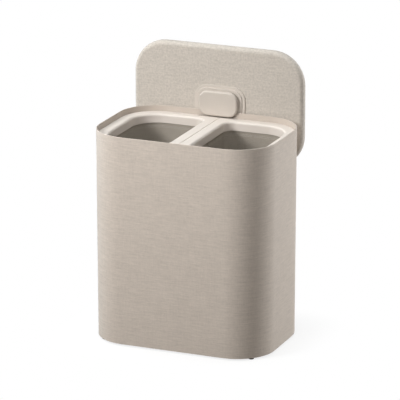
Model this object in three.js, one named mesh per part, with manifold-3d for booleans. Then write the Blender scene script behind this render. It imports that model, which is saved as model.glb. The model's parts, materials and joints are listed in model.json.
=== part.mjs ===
import * as THREE from 'three';
import { mergeVertices } from 'three/addons/utils/BufferGeometryUtils.js';
import Module from 'manifold-3d';

// Laundry hamper with two lift-out bins and a lid that hangs on the rear wall by its knob.
// Millimetres. +X towards the right bin, +Y towards the rear, +Z up.
const wasm = await Module();
wasm.setup();

// Body shell: its size over the top edge, and the little that its sides lean in at the floor
const bodyWidth = 521.8;
const bodyDepth = 358.4;
const bodyHeight = 600;
const bodyCornerRadius = 110;
const bodyDraft = 2;
const shellWall = 2.8;
const shellFloorGap = 5.5;

// Clearances
const seatGap = 0.3;
const rimClearance = 1;
const liftClearance = 0.6;
const cutOverrun = 2;

// Base pan inside the foot of the shell
const panRecess = 2.5;
const panFloor = 2.5;
const panUpstand = 38;
const panWall = 2.2;
const panBottomRadius = 5;
const panRibWidth = 2;
const panRibInset = 30;
const panRibPitch = 78;

// Feet: a rubber pad with a stem that is pressed up into the pan
const footInset = 12;
const footRadius = 7.5;
const footChamfer = 1;
const stemRadius = 3;
const stemClearance = 0.3;

// Support collar: the ledge inside the shell that the bins hang on
const collarHeight = 27;
const collarWall = 2;
const ledgeReach = 10;
const ledgeThickness = 2.4;
const gussetHeight = 13;
const gussetThickness = 2;
const gussetPitch = 62;
const gussetSpanShare = 0.8;

// Bin rim frames
const rimDrop = 16;
const rimWidth = 31.5;
const rimLipDepth = 6.5;
const rimLipWall = 2;
const rimFlange = 2.2;
const rimEdgeRadius = 1.5;
const rimRollRadius = 7;
const skirtDepth = 26;
const skirtWall = 2.2;
const dividerGap = 1;
const dividerCornerRadius = 8;
const openingCornerRadius = 30;
const rimRibDepth = 4;
const rimRibThickness = 1.8;
const rimRibPitch = 34;
const notchSideClearance = 1.5;

// Bags, their clamp rings, base boards and carrying straps
const hemBelowRim = 8;
const bagCloth = 1.2;
const bagFloorClearance = 6.5;
const bagTaper = 5;
const bagStraightDepth = 150;
const bagBottomRadius = 6;
const clampWall = 1.5;
const clampHeight = 16.5;
const boardThickness = 3;
const boardMargin = 0.4;
const strapWidth = 20;
const strapThickness = 1.8;
const strapSpanShare = 0.95;
const strapLeg = 45;

// Lid
const lidWidth = 508;
const lidDepth = 332;
const lidThickness = 19;
const lidCornerRadius = 94;
const lidEdgeRadius = 12;
const lidWall = 2.5;
const lidRibWidth = 1.8;
const lidRibPitch = 92;
const lidLongRibOffset = 80;
const lidHangShift = 6;
const linerThickness = 2;
const linerGap = 0.4;

// Knob: a stepped base, and a handle plate on a neck that hooks over the shell's rear wall
const knobOffCentre = 4;
const knobOffSide = 7;
const plateWidth = 117;
const plateHeight = 72.5;
const plateThickness = 8;
const plateCornerRadius = 27;
const plateFrontRadius = 6;
const plateBackRadius = 1.5;
const hookLip = 15;
const hookClearance = 2.2;
const baseWidth = 152;
const baseHeight = 100;
const baseCornerRadius = 38;
const baseFlangeWidth = 8.5;
const baseFlangeThickness = 3;
const baseThickness = 5.7;
const baseEdgeRadius = 1.2;
const baseShellWall = 1.8;
const ventWidth = 3;
const ventLength = 30;
const ventPitch = 8;
const ventCount = 5;

// Odour filter behind the knob, and the screws that hold the knob
const filterWidth = 56;
const filterHeight = 60;
const filterThickness = 8;
const filterCornerRadius = 6;
const doorMargin = 7;
const tabLength = 14;
const tabReach = 3;
const tabThickness = 1.5;
const screwSpacing = 66;
const screwRadius = 2;
const screwHoleClearance = 0.3;
const screwHeadRadius = 4;
const screwHeadHeight = 2.6;
const screwBite = 9;
const bossRadius = 6;
const bossDepth = 6;

// Smoothness of the round stretches
const cornerSteps = 10;
const smallCornerSteps = 6;
const edgeSteps = 4;
const hiddenEdgeSteps = 2;
const roundSides = 20;

const halfTurn = Math.PI;
const quarterTurn = Math.PI / 2;

// Outlines: four sides, the corner radii in turn from the front right one, and steps in a corner
function rounded(left, right, front, rear, radii, steps = cornerSteps) {
  return { left, right, front, rear, radii, steps };
}

function centred(width, depth, radius, middleX = 0, middleY = 0, steps = cornerSteps) {
  const radii = [radius, radius, radius, radius];
  const [halfX, halfY] = [width / 2, depth / 2];
  return rounded(middleX - halfX, middleX + halfX, middleY - halfY, middleY + halfY, radii, steps);
}

function grown({ left, right, front, rear, radii, steps }, by) {
  const larger = radii.map((radius) => radius + by);
  return rounded(left - by, right + by, front - by, rear + by, larger, steps);
}

function outlinePoints({ left, right, front, rear, radii, steps }) {
  const corners = [[right, front], [right, rear], [left, rear], [left, front]];
  return corners.flatMap(([x, y], corner) => {
    const radius = radii[corner];
    const centreX = x - Math.sign(x - (left + right) / 2) * radius;
    const centreY = y - Math.sign(y - (front + rear) / 2) * radius;
    return Array.from({ length: steps + 1 }, (_, step) => {
      const angle = (corner - 1 + step / steps) * quarterTurn;
      return new THREE.Vector2(centreX + radius * Math.cos(angle), centreY + radius * Math.sin(angle));
    });
  });
}

// One level of a loft: an outline grown by an amount, at a height
function ring(outline, by, z) {
  return outlinePoints(grown(outline, by)).map((point) => new THREE.Vector3(point.x, point.y, z));
}

// Levels along an arc in the plane of growth and height
function arcRings(outline, centreBy, centreZ, radius, from, to, steps = edgeSteps) {
  return Array.from({ length: steps + 1 }, (_, step) => {
    const angle = from + ((to - from) * step) / steps;
    return ring(outline, centreBy + radius * Math.cos(angle), centreZ + radius * Math.sin(angle));
  });
}

// A skin through the levels, up the outside and down the inside: a closed section, or capped ends
function loft(rings, closed = false) {
  const count = rings[0].length;
  const index = [];
  const spans = closed ? rings.length : rings.length - 1;
  for (let level = 0; level < spans; level += 1) {
    const here = level * count;
    const above = ((level + 1) % rings.length) * count;
    for (let i = 0; i < count; i += 1) {
      const next = (i + 1) % count;
      index.push(here + i, here + next, above + next, here + i, above + next, above + i);
    }
  }
  if (!closed) {
    const last = (rings.length - 1) * count;
    for (let i = 1; i + 1 < count; i += 1) {
      index.push(0, i + 1, i, last, last + i, last + i + 1);
    }
  }
  const geometry = new THREE.BufferGeometry();
  const positions = rings.flat().flatMap((point) => [point.x, point.y, point.z]);
  geometry.setAttribute('position', new THREE.Float32BufferAttribute(positions, 3));
  geometry.setIndex(index);
  return geometry;
}

const sectionLoft = (rings) => loft(rings, true);

// Solids for cuts and joins
function solid(geometry) {
  const bare = geometry.clone();
  bare.deleteAttribute('normal');
  bare.deleteAttribute('uv');
  const merged = mergeVertices(bare);
  const vertProperties = new Float32Array(merged.attributes.position.array);
  const triVerts = new Uint32Array(merged.index.array);
  return new wasm.Manifold(new wasm.Mesh({ numProp: 3, vertProperties, triVerts }));
}

function geometryOf(body) {
  const { vertProperties, triVerts } = body.getMesh();
  const geometry = new THREE.BufferGeometry();
  geometry.setAttribute('position', new THREE.BufferAttribute(vertProperties, 3));
  geometry.setIndex(new THREE.BufferAttribute(triVerts, 1));
  return geometry;
}

const joined = (body, others) => others.reduce((sum, other) => sum.add(other), body);
const cut = (body, tools) => tools.reduce((rest, tool) => rest.subtract(tool), body);

function boxSolid(x0, x1, y0, y1, z0, z1) {
  const box = new THREE.BoxGeometry(x1 - x0, y1 - y0, z1 - z0);
  return solid(box.translate((x0 + x1) / 2, (y0 + y1) / 2, (z0 + z1) / 2));
}

function postSolid(x, y, radius, z0, z1) {
  const post = new THREE.CylinderGeometry(radius, radius, z1 - z0, roundSides);
  return solid(post.rotateX(quarterTurn).translate(x, y, (z0 + z1) / 2));
}

// Places of copies at an even pitch, centred, that fit in a span
function spaced(span, pitch) {
  const count = Math.max(1, Math.floor(span / pitch) + 1);
  return Array.from({ length: count }, (_, i) => (i - (count - 1) / 2) * pitch);
}

// Materials
function material(color, roughness) {
  return new THREE.MeshStandardMaterial({ color, roughness, metalness: 0 });
}

const linen = material('#c6bdb2', 0.8);
const cream = material('#e3dcd5', 0.45);
const knobPlastic = material('#cbc1b5', 0.42);
const innerPlastic = material('#b9b0a5', 0.55);
const rubber = material('#1d1c1b', 0.85);
const bagFabric = material('#a59d93', 0.9);
const boardPlastic = material('#8b847b', 0.7);
const webbing = material('#8a8177', 0.85);
const carbonFelt = material('#2b2b2b', 0.95);
const steel = new THREE.MeshStandardMaterial({ color: '#9a9a9c', roughness: 0.35, metalness: 1 });

function piece(group, name, shape, finish) {
  const geometry = shape.isBufferGeometry ? shape : geometryOf(shape);
  geometry.computeVertexNormals();
  const mesh = new THREE.Mesh(geometry, finish);
  mesh.name = name;
  group.add(mesh);
}

// Heights that the pieces share
const rimTop = bodyHeight - rimDrop;
const ledgeTop = rimTop - rimLipDepth - seatGap;
const panBottom = shellFloorGap + panRecess;
const panTop = panBottom + panFloor;

const bodyOutline = centred(bodyWidth, bodyDepth, bodyCornerRadius);
const draftAt = (z) => (bodyDraft * (bodyHeight - z)) / bodyHeight;
const shellOuter = (z) => -draftAt(z);
const shellInner = (z) => shellOuter(z) - shellWall;

function outerShell() {
  const edge = shellWall / 2;
  return sectionLoft([
    ring(bodyOutline, shellOuter(shellFloorGap), shellFloorGap),
    ...arcRings(bodyOutline, -edge, bodyHeight - edge, edge, 0, halfTurn),
    ring(bodyOutline, shellInner(shellFloorGap), shellFloorGap),
  ]);
}

const footSides = [
  ['front_left', -1, -1], ['front_right', 1, -1], ['rear_left', -1, 1], ['rear_right', 1, 1],
];
const footPlaces = footSides.map(([place, sideX, sideY]) => {
  const floor = grown(bodyOutline, shellOuter(shellFloorGap));
  const reach = (floor.radii[0] - footInset) * Math.SQRT1_2;
  const x = sideX * (floor.right - floor.radii[0] + reach);
  const y = sideY * (floor.rear - floor.radii[0] + reach);
  return { place, x, y };
});

const footBossRadius = footInset - shellWall - 2 * seatGap;

function basePan() {
  const panOuter = (z) => shellInner(z) - seatGap;
  const top = panBottom + panUpstand;
  const innerRadius = panBottomRadius - panWall;
  const bottomBy = panOuter(panBottom) - panBottomRadius;
  const panEdge = (z, radius, from, to) => (
    arcRings(bodyOutline, bottomBy, z, radius, from, to, hiddenEdgeSteps)
  );
  const dish = loft([
    ...panEdge(panBottom + panBottomRadius, panBottomRadius, -quarterTurn, 0),
    ring(bodyOutline, panOuter(top), top),
    ring(bodyOutline, panOuter(top) - panWall, top),
    ...panEdge(panTop + innerRadius, innerRadius, 0, -quarterTurn),
  ]);
  const across = bodyWidth / 2 - bodyCornerRadius;
  const deep = bodyDepth / 2 - panRibInset;
  const wide = bodyWidth / 2 - panRibInset;
  const ribFoot = shellFloorGap + seatGap;
  const ribHead = panBottom + panFloor / 2;
  const half = panRibWidth / 2;
  const crossRibs = spaced(2 * across, panRibPitch)
    .map((x) => boxSolid(x - half, x + half, -deep, deep, ribFoot, ribHead));
  const longRibs = spaced(bodyDepth - 2 * bodyCornerRadius, panRibPitch)
    .map((y) => boxSolid(-wide, wide, y - half, y + half, ribFoot, ribHead));
  const bosses = footPlaces.map(({ x, y }) => postSolid(x, y, footBossRadius, shellFloorGap, ribHead));
  const holeRadius = stemRadius + stemClearance;
  const holes = footPlaces
    .map(({ x, y }) => postSolid(x, y, holeRadius, shellFloorGap - cutOverrun, panTop + cutOverrun));
  return cut(joined(solid(dish), [...crossRibs, ...longRibs, ...bosses]), holes);
}

function foot(x, y) {
  const padTop = shellFloorGap - seatGap;
  const profile = [
    [0, 0], [footRadius - footChamfer, 0], [footRadius, footChamfer], [footRadius, padTop],
    [stemRadius, padTop], [stemRadius, panTop], [0, panTop],
  ].map(([radius, z]) => new THREE.Vector2(radius, z));
  return solid(new THREE.LatheGeometry(profile, roundSides).rotateX(quarterTurn).translate(x, y, 0));
}

function supportCollar() {
  const bottom = ledgeTop - collarHeight;
  const outer = (z) => shellInner(z) - seatGap;
  const bandInner = outer(ledgeTop) - collarWall;
  const ledgeInner = shellInner(ledgeTop) - ledgeReach;
  const band = sectionLoft([
    ring(bodyOutline, outer(bottom), bottom),
    ring(bodyOutline, outer(ledgeTop), ledgeTop),
    ring(bodyOutline, ledgeInner, ledgeTop),
    ring(bodyOutline, ledgeInner, ledgeTop - ledgeThickness),
    ring(bodyOutline, bandInner, ledgeTop - ledgeThickness),
    ring(bodyOutline, outer(bottom) - collarWall, bottom),
  ]);
  const root = ledgeTop - ledgeThickness / 2;
  const reach = bandInner - ledgeInner + collarWall / 2;
  const webShape = new THREE.Shape([
    new THREE.Vector2(0, root), new THREE.Vector2(-reach * gussetSpanShare, root),
    new THREE.Vector2(0, root - gussetHeight),
  ]);
  const web = () => new THREE.ExtrudeGeometry(webShape, { depth: gussetThickness, bevelEnabled: false })
    .rotateX(quarterTurn).translate(0, gussetThickness / 2, 0);
  const wallX = bodyWidth / 2 + bandInner + collarWall / 2;
  const wallY = bodyDepth / 2 + bandInner + collarWall / 2;
  const alongX = spaced(bodyWidth - 2 * bodyCornerRadius, gussetPitch);
  const alongY = spaced(bodyDepth - 2 * bodyCornerRadius, gussetPitch);
  const webs = [
    ...alongY.map((y) => web().translate(wallX, y, 0)),
    ...alongY.map((y) => web().rotateZ(halfTurn).translate(-wallX, y, 0)),
    ...alongX.map((x) => web().rotateZ(quarterTurn).translate(x, wallY, 0)),
    ...alongX.map((x) => web().rotateZ(-quarterTurn).translate(x, -wallY, 0)),
  ];
  return joined(solid(band), webs.map(solid));
}

// Knob places: the handle's plate hangs inside the rear wall, its base just outside it
const wallInnerY = bodyDepth / 2 - shellWall;
const plateBackY = wallInnerY - hookClearance;
const plateFrontY = plateBackY - plateThickness;
const baseFrontY = bodyDepth / 2 + seatGap;
const lidFaceY = baseFrontY + baseThickness + seatGap;
const knobCentreZ = bodyHeight + seatGap + plateHeight / 2 - hookLip;
const lidRearY = lidFaceY + lidThickness;

// The notch in the rims' rear strips, where the bins pass the plate as they are lifted
const notchHalf = plateWidth / 2 + notchSideClearance;
const notchLeft = -lidHangShift - notchHalf;
const notchRight = -lidHangShift + notchHalf;
const notchFrontY = plateFrontY - liftClearance;

// Bins: side is 1 for the right one and -1 for the left one
function sided(side, nearX, farX, nearRadius, farRadius, halfDepth) {
  if (side > 0) {
    return rounded(nearX, farX, -halfDepth, halfDepth, [farRadius, farRadius, nearRadius, nearRadius]);
  }
  return rounded(-farX, -nearX, -halfDepth, halfDepth, [nearRadius, nearRadius, farRadius, farRadius]);
}

function rimOutline(side) {
  const inset = -shellInner(ledgeTop) + rimClearance;
  const farX = bodyWidth / 2 - inset;
  const farRadius = bodyCornerRadius - inset;
  return sided(side, dividerGap / 2, farX, dividerCornerRadius, farRadius, bodyDepth / 2 - inset);
}

function openingOutline(side) {
  const inset = -shellInner(ledgeTop) + rimClearance + rimWidth;
  const nearX = dividerGap / 2 + rimWidth;
  const farX = bodyWidth / 2 - inset;
  const farRadius = bodyCornerRadius - inset;
  return sided(side, nearX, farX, openingCornerRadius, farRadius, bodyDepth / 2 - inset);
}

const hemInner = skirtWall + seatGap;
const hemOuter = hemInner + bagCloth;
const clampInner = hemOuter + seatGap;
const clampOuter = clampInner + clampWall;
const hemTop = rimTop - hemBelowRim;
const clampBottom = hemTop - clampHeight;

function rimFrame(side) {
  const outer = rimOutline(side);
  const opening = openingOutline(side);
  const lipBottom = rimTop - rimLipDepth;
  const rollCentre = rimTop - rimRollRadius;
  const edge = rimEdgeRadius;
  const frame = sectionLoft([
    ring(outer, 0, lipBottom),
    ...arcRings(outer, -edge, rimTop - edge, edge, 0, quarterTurn, hiddenEdgeSteps),
    ...arcRings(opening, rimRollRadius, rollCentre, rimRollRadius, quarterTurn, halfTurn),
    ring(opening, 0, rimTop - skirtDepth),
    ring(opening, skirtWall, rimTop - skirtDepth),
    ...arcRings(opening, rimRollRadius, rollCentre, rimRollRadius - skirtWall, halfTurn, quarterTurn),
    ring(outer, -rimLipWall, rimTop - rimFlange),
    ring(outer, -rimLipWall, lipBottom),
  ]);
  const ribRoot = clampOuter + seatGap;
  const ribTop = rimTop - rimFlange / 2;
  const ribBottom = ribTop - rimRibDepth;
  const half = rimRibThickness / 2;
  const from = Math.max(outer.left + outer.radii[3], opening.left + opening.radii[3]);
  const to = Math.min(outer.right - outer.radii[0], opening.right - opening.radii[0]);
  const ribs = spaced(to - from, rimRibPitch).flatMap((along) => {
    const x = (from + to) / 2 + along;
    const lip = outer.rear - rimLipWall / 2;
    const root = opening.rear + ribRoot;
    const front = boxSolid(x - half, x + half, -lip, -root, ribBottom, ribTop);
    const besideNotch = x + rimRibThickness < notchLeft || x - rimRibThickness > notchRight;
    return besideNotch ? [front, boxSolid(x - half, x + half, root, lip, ribBottom, ribTop)] : [front];
  });
  const notchFoot = rimTop - skirtDepth;
  const notchHead = rimTop + cutOverrun;
  const notch = boxSolid(notchLeft, notchRight, notchFrontY, bodyDepth / 2, notchFoot, notchHead);
  return cut(joined(solid(frame), ribs), [notch]);
}

function bagCurve(z) {
  const straightEnd = hemTop - bagStraightDepth;
  const below = Math.max(0, straightEnd - z) / (straightEnd - bagBottom);
  return -bagTaper * below;
}

const bagBottom = panTop + bagFloorClearance;
const bagFloorTop = bagBottom + bagCloth;

function bag(side) {
  const opening = openingOutline(side);
  const straightEnd = hemTop - bagStraightDepth;
  const innerRadius = bagBottomRadius - bagCloth;
  const filletBy = hemOuter + bagCurve(bagBottom) - bagBottomRadius;
  const filletZ = bagBottom + bagBottomRadius;
  return loft([
    ...arcRings(opening, filletBy, filletZ, bagBottomRadius, -quarterTurn, 0, hiddenEdgeSteps),
    ring(opening, hemOuter, straightEnd),
    ring(opening, hemOuter, hemTop),
    ring(opening, hemInner, hemTop),
    ring(opening, hemInner, straightEnd),
    ...arcRings(opening, filletBy, filletZ, innerRadius, 0, -quarterTurn, hiddenEdgeSteps),
  ]);
}

function clampRing(side) {
  const opening = openingOutline(side);
  return sectionLoft([
    ring(opening, clampOuter, clampBottom),
    ring(opening, clampOuter, hemTop),
    ring(opening, clampInner, hemTop),
    ring(opening, clampInner, clampBottom),
  ]);
}

function baseBoard(side) {
  const opening = openingOutline(side);
  const by = hemInner + bagCurve(bagBottom) - bagBottomRadius - boardMargin;
  const bottom = bagFloorTop + seatGap;
  return loft([ring(opening, by, bottom), ring(opening, by, bottom + boardThickness)]);
}

// A webbing loop that hangs down the flat stretch of a bag's outside, sewn to it below the clamp ring
function strap(side, facing) {
  const opening = openingOutline(side);
  const flatLeft = opening.left + opening.radii[3];
  const flatRight = opening.right - opening.radii[0];
  const outer = (strapSpanShare * (flatRight - flatLeft)) / 2;
  const inner = outer - strapWidth;
  const loop = new THREE.Shape();
  loop.moveTo(outer, 0);
  loop.lineTo(inner, 0);
  loop.lineTo(inner, -strapLeg);
  loop.absarc(0, -strapLeg, inner, 0, -halfTurn, true);
  loop.lineTo(-inner, 0);
  loop.lineTo(-outer, 0);
  loop.lineTo(-outer, -strapLeg);
  loop.absarc(0, -strapLeg, outer, -halfTurn, 0, false);
  const options = { depth: strapThickness, bevelEnabled: false, curveSegments: roundSides / 2 };
  const geometry = new THREE.ExtrudeGeometry(loop, options).rotateX(quarterTurn);
  const middleX = (flatLeft + flatRight) / 2;
  const inFront = opening.front - hemOuter - seatGap;
  const behind = opening.rear + hemOuter + seatGap + strapThickness;
  return solid(geometry.translate(middleX, facing < 0 ? inFront : behind, clampBottom - seatGap));
}

// Lid, lying flat: its outer face is at height zero and looks up, and the knob's middle is over x = 0
const lidMiddleX = -knobOffSide;
const lidOutline = centred(lidWidth, lidDepth, lidCornerRadius, lidMiddleX);
const linerInset = lidWall + linerGap;
const linerTop = -lidThickness + linerThickness;
const screwHoleRadius = screwRadius + screwHoleClearance;
const ventPlaces = spaced(ventPitch * (ventCount - 1), ventPitch);
const screwPlaces = [['left', -screwSpacing / 2], ['right', screwSpacing / 2]];

function aroundKnob(width, height, radius) {
  return centred(width, height, radius, 0, knobOffCentre, smallCornerSteps);
}

const filterOutline = aroundKnob(filterWidth, filterHeight, filterCornerRadius);

function ventCuts(z0, z1) {
  const half = ventWidth / 2;
  return ventPlaces.map((along) => {
    const y = knobOffCentre + along;
    return boxSolid(-ventLength / 2, ventLength / 2, y - half, y + half, z0, z1);
  });
}

function screwCuts(z0, z1) {
  return screwPlaces.map(([, x]) => postSolid(x, knobOffCentre, screwHoleRadius, z0, z1));
}

function lidShell() {
  const lidEdge = (radius, from, to, steps) => (
    arcRings(lidOutline, -lidEdgeRadius, -lidEdgeRadius, radius, from, to, steps)
  );
  const tray = loft([
    ...lidEdge(lidEdgeRadius - lidWall, quarterTurn, 0, hiddenEdgeSteps),
    ring(lidOutline, -lidWall, -lidThickness),
    ring(lidOutline, 0, -lidThickness),
    ...lidEdge(lidEdgeRadius, 0, quarterTurn, edgeSteps),
  ]);
  const half = lidRibWidth / 2;
  const ribFoot = linerTop + seatGap;
  const ribHead = -lidWall / 2;
  const long = lidWidth / 2;
  const deep = lidDepth / 2;
  const crossRibs = spaced(lidWidth - 2 * lidEdgeRadius, lidRibPitch)
    .map((along) => lidMiddleX + along)
    .map((x) => boxSolid(x - half, x + half, -deep, deep, ribFoot, ribHead));
  const longRibs = [-1, 1].map((sign) => {
    const y = sign * lidLongRibOffset;
    return boxSolid(lidMiddleX - long, lidMiddleX + long, y - half, y + half, ribFoot, ribHead);
  });
  const bosses = screwPlaces
    .map(([, x]) => postSolid(x, knobOffCentre, bossRadius, -lidWall - bossDepth, ribHead));
  const skin = solid(loft([
    ring(lidOutline, -lidWall / 2, -lidThickness),
    ...lidEdge(lidEdgeRadius - lidWall / 2, 0, quarterTurn, hiddenEdgeSteps),
  ]));
  const ribs = joined(crossRibs[0], [...crossRibs.slice(1), ...longRibs]).intersect(skin);
  const well = solid(loft([
    ring(filterOutline, doorMargin + tabReach, -lidThickness - cutOverrun),
    ring(filterOutline, doorMargin + tabReach, -lidWall),
  ]));
  const holes = [...ventCuts(-lidThickness, cutOverrun), ...screwCuts(-lidThickness, cutOverrun)];
  return cut(joined(solid(tray), [ribs.subtract(well), ...bosses]), holes);
}

function lidLiner() {
  const plate = solid(loft([
    ring(lidOutline, -linerInset, -lidThickness), ring(lidOutline, -linerInset, linerTop),
  ]));
  const window = solid(loft([
    ring(filterOutline, doorMargin, -lidThickness - cutOverrun),
    ring(filterOutline, doorMargin, linerTop + cutOverrun),
  ]));
  return cut(plate, [window]);
}

// The filter's door, slotted for air, with tabs that lie on the liner's inner side
function filterDoor() {
  const by = doorMargin - linerGap;
  const plate = solid(loft([ring(filterOutline, by, -lidThickness), ring(filterOutline, by, linerTop)]));
  const edge = grown(filterOutline, by);
  const tabFoot = linerTop + seatGap;
  const tabTop = tabFoot + tabThickness;
  const stemFoot = linerTop - linerThickness / 2;
  const y0 = knobOffCentre - tabLength / 2;
  const y1 = knobOffCentre + tabLength / 2;
  const tabs = [-1, 1].map((sign) => {
    const root = sign > 0 ? edge.right : edge.left;
    const inner = root - sign * tabReach;
    const outer = root + sign * (linerGap + tabReach / 2);
    const lip = boxSolid(Math.min(inner, outer), Math.max(inner, outer), y0, y1, tabFoot, tabTop);
    const stem = boxSolid(Math.min(inner, root), Math.max(inner, root), y0, y1, stemFoot, tabTop);
    return lip.add(stem);
  });
  const vents = ventCuts(-lidThickness - cutOverrun, linerTop + cutOverrun);
  return cut(joined(plate, tabs), vents);
}

function filterPad() {
  const bottom = linerTop + seatGap;
  return loft([ring(filterOutline, 0, bottom), ring(filterOutline, 0, bottom + filterThickness)]);
}

// Knob base: a flange and a raised platform, hollow behind
function knobBase() {
  const outline = aroundKnob(baseWidth, baseHeight, baseCornerRadius);
  const flangeTop = seatGap + baseFlangeThickness;
  const top = seatGap + baseThickness;
  const stepBy = -baseFlangeWidth;
  const hollowTop = top - baseShellWall;
  const hollowBy = stepBy - baseShellWall;
  const edge = baseEdgeRadius;
  const plate = loft([
    ring(outline, hollowBy, hollowTop),
    ring(outline, hollowBy, seatGap),
    ring(outline, 0, seatGap),
    ...arcRings(outline, -edge, flangeTop - edge, edge, 0, quarterTurn, hiddenEdgeSteps),
    ring(outline, stepBy, flangeTop),
    ...arcRings(outline, stepBy - edge, top - edge, edge, 0, quarterTurn, hiddenEdgeSteps),
  ]);
  const postTop = hollowTop + baseShellWall / 2;
  const posts = screwPlaces.map(([, x]) => postSolid(x, knobOffCentre, bossRadius, seatGap, postTop));
  const overTop = top + cutOverrun;
  return cut(joined(solid(plate), posts), [...ventCuts(0, overTop), ...screwCuts(-cutOverrun, overTop)]);
}

// Knob handle: one moulding of neck and plate, drilled from behind for its two screws
function knobHandle() {
  const outline = aroundKnob(plateWidth, plateHeight, plateCornerRadius);
  const neckFoot = seatGap + baseThickness + seatGap;
  const back = lidFaceY - plateBackY;
  const front = back + plateThickness;
  const [backEdge, frontEdge] = [plateBackRadius, plateFrontRadius];
  const body = loft([
    ring(outline, -hookLip, neckFoot),
    ring(outline, -hookLip, back),
    ...arcRings(outline, -backEdge, back + backEdge, backEdge, -quarterTurn, 0, hiddenEdgeSteps),
    ...arcRings(outline, -frontEdge, front - frontEdge, frontEdge, 0, quarterTurn),
  ]);
  return cut(solid(body), screwCuts(neckFoot - cutOverrun, neckFoot + screwBite + seatGap));
}

function screw(x) {
  const seat = -lidWall - bossDepth - seatGap;
  const head = seat - screwHeadHeight;
  const tip = seatGap + baseThickness + seatGap + screwBite;
  const profile = [
    [0, head], [screwHeadRadius, head], [screwHeadRadius, seat], [screwRadius, seat],
    [screwRadius, tip - screwRadius], [0, tip],
  ].map(([radius, z]) => new THREE.Vector2(radius, z));
  const lathe = new THREE.LatheGeometry(profile, roundSides / 2).rotateX(quarterTurn);
  return solid(lathe.translate(x, knobOffCentre, 0));
}

// Assembly. The whole stands with the middle of its footprint, hung lid included, over the origin
const hamper = new THREE.Group();
const standing = new THREE.Group();
const lidLeftX = lidMiddleX - lidHangShift - lidWidth / 2;
const leftmostX = Math.min(-bodyWidth / 2, lidLeftX);
const rightmostX = Math.max(bodyWidth / 2, lidLeftX + lidWidth);
standing.position.x = -(leftmostX + rightmostX) / 2;
standing.position.y = -(lidRearY - bodyDepth / 2) / 2;
hamper.add(standing);

piece(standing, 'outer_shell', outerShell(), linen);
piece(standing, 'base_pan', basePan(), innerPlastic);
piece(standing, 'support_collar', supportCollar(), innerPlastic);
for (const { place, x, y } of footPlaces) piece(standing, `foot_${place}`, foot(x, y), rubber);

for (const [hand, side] of [['left', -1], ['right', 1]]) {
  const bin = new THREE.Group();
  standing.add(bin);
  piece(bin, `${hand}_rim_frame`, rimFrame(side), cream);
  piece(bin, `${hand}_clamp_ring`, clampRing(side), cream);
  piece(bin, `${hand}_bag`, bag(side), bagFabric);
  piece(bin, `${hand}_base_board`, baseBoard(side), boardPlastic);
  piece(bin, `${hand}_strap_front`, strap(side, -1), webbing);
  piece(bin, `${hand}_strap_rear`, strap(side, 1), webbing);
}

// The lid hangs upright behind the rear wall, outer face forward
const lid = new THREE.Group();
lid.rotation.x = quarterTurn;
lid.position.set(-lidHangShift, lidFaceY, knobCentreZ - knobOffCentre);
standing.add(lid);
piece(lid, 'lid_shell', lidShell(), linen);
piece(lid, 'lid_liner', lidLiner(), innerPlastic);
piece(lid, 'filter_pad', filterPad(), carbonFelt);
piece(lid, 'filter_door', filterDoor(), innerPlastic);
piece(lid, 'knob_base', knobBase(), knobPlastic);
piece(lid, 'knob_handle', knobHandle(), knobPlastic);
for (const [place, x] of screwPlaces) piece(lid, `knob_screw_${place}`, screw(x), steel);

export default hamper;
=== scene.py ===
"""A laundry hamper with two lift-out bins: finishes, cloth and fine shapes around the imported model."""

import json
import math

import bmesh
import bpy
import numpy as np
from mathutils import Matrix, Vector, noise


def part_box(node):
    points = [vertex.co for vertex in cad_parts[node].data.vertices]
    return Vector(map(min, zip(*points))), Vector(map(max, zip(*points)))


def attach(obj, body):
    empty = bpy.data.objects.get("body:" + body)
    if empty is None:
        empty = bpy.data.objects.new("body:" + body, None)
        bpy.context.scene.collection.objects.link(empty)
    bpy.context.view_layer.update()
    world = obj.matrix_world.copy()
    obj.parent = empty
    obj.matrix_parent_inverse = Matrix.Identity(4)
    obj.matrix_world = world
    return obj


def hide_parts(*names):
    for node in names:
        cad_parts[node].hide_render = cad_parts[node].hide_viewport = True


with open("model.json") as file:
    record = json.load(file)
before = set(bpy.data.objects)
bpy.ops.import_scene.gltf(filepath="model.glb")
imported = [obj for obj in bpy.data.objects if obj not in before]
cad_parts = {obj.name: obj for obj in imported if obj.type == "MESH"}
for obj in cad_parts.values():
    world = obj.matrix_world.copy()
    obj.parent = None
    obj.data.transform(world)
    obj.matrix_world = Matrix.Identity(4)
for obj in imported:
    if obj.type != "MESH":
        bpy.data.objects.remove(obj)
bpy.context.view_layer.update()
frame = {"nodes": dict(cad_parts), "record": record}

record = frame["record"]
BODY_OF = {node: body for body, nodes in record["behaviour"]["bodies"].items() for node in nodes}
SLOT_OF = {row["node"]: row["material_slot"] for row in record["subparts"]}

# Camera, measured from the photograph's outline, in metres and in pixels of a 400 pixel frame
AZIMUTH = math.radians(22.49)
ELEVATION = math.radians(16.78)
CAMERA_DISTANCE = 9.33866
FOCAL_PIXELS = 3381.02
FRAME_PIXELS = 400
SENSOR_WIDTH = 36
AIM = Vector((0.01322, -0.01265, 0.39148))

# Base colours, as the eye reads them
LINEN = (200, 189, 178)
LID_LINEN = (194, 186, 176)
# The wall's inner face is the linen made darker: painted shade for the inside of the shell
WALL_INSIDE_PAINTED_SHADE = (191, 180, 169)
CREAM = (216, 207, 198)
KNOB = (197, 188, 178)
# The knob base is the knob's plastic made lighter: painted light for its faces turned up to the lamps
KNOB_BASE_PAINTED_LIGHT = (202, 193, 183)
INNER = (185, 176, 165)
RUBBER = (30, 29, 28)
BAG = (168, 160, 149)
BOARD = (139, 132, 123)
WEBBING = (133, 125, 114)
FELT = (42, 42, 42)
STEEL = (150, 150, 152)
THREAD = (205, 198, 187)


def linear(colour):
    """A colour in 0 to 255 as the eye reads it, made linear for a shader"""
    shares = [channel / 255 for channel in colour]
    return [c / 12.92 if c <= 0.04045 else ((c + 0.055) / 1.055) ** 2.4 for c in shares] + [1.0]


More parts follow.
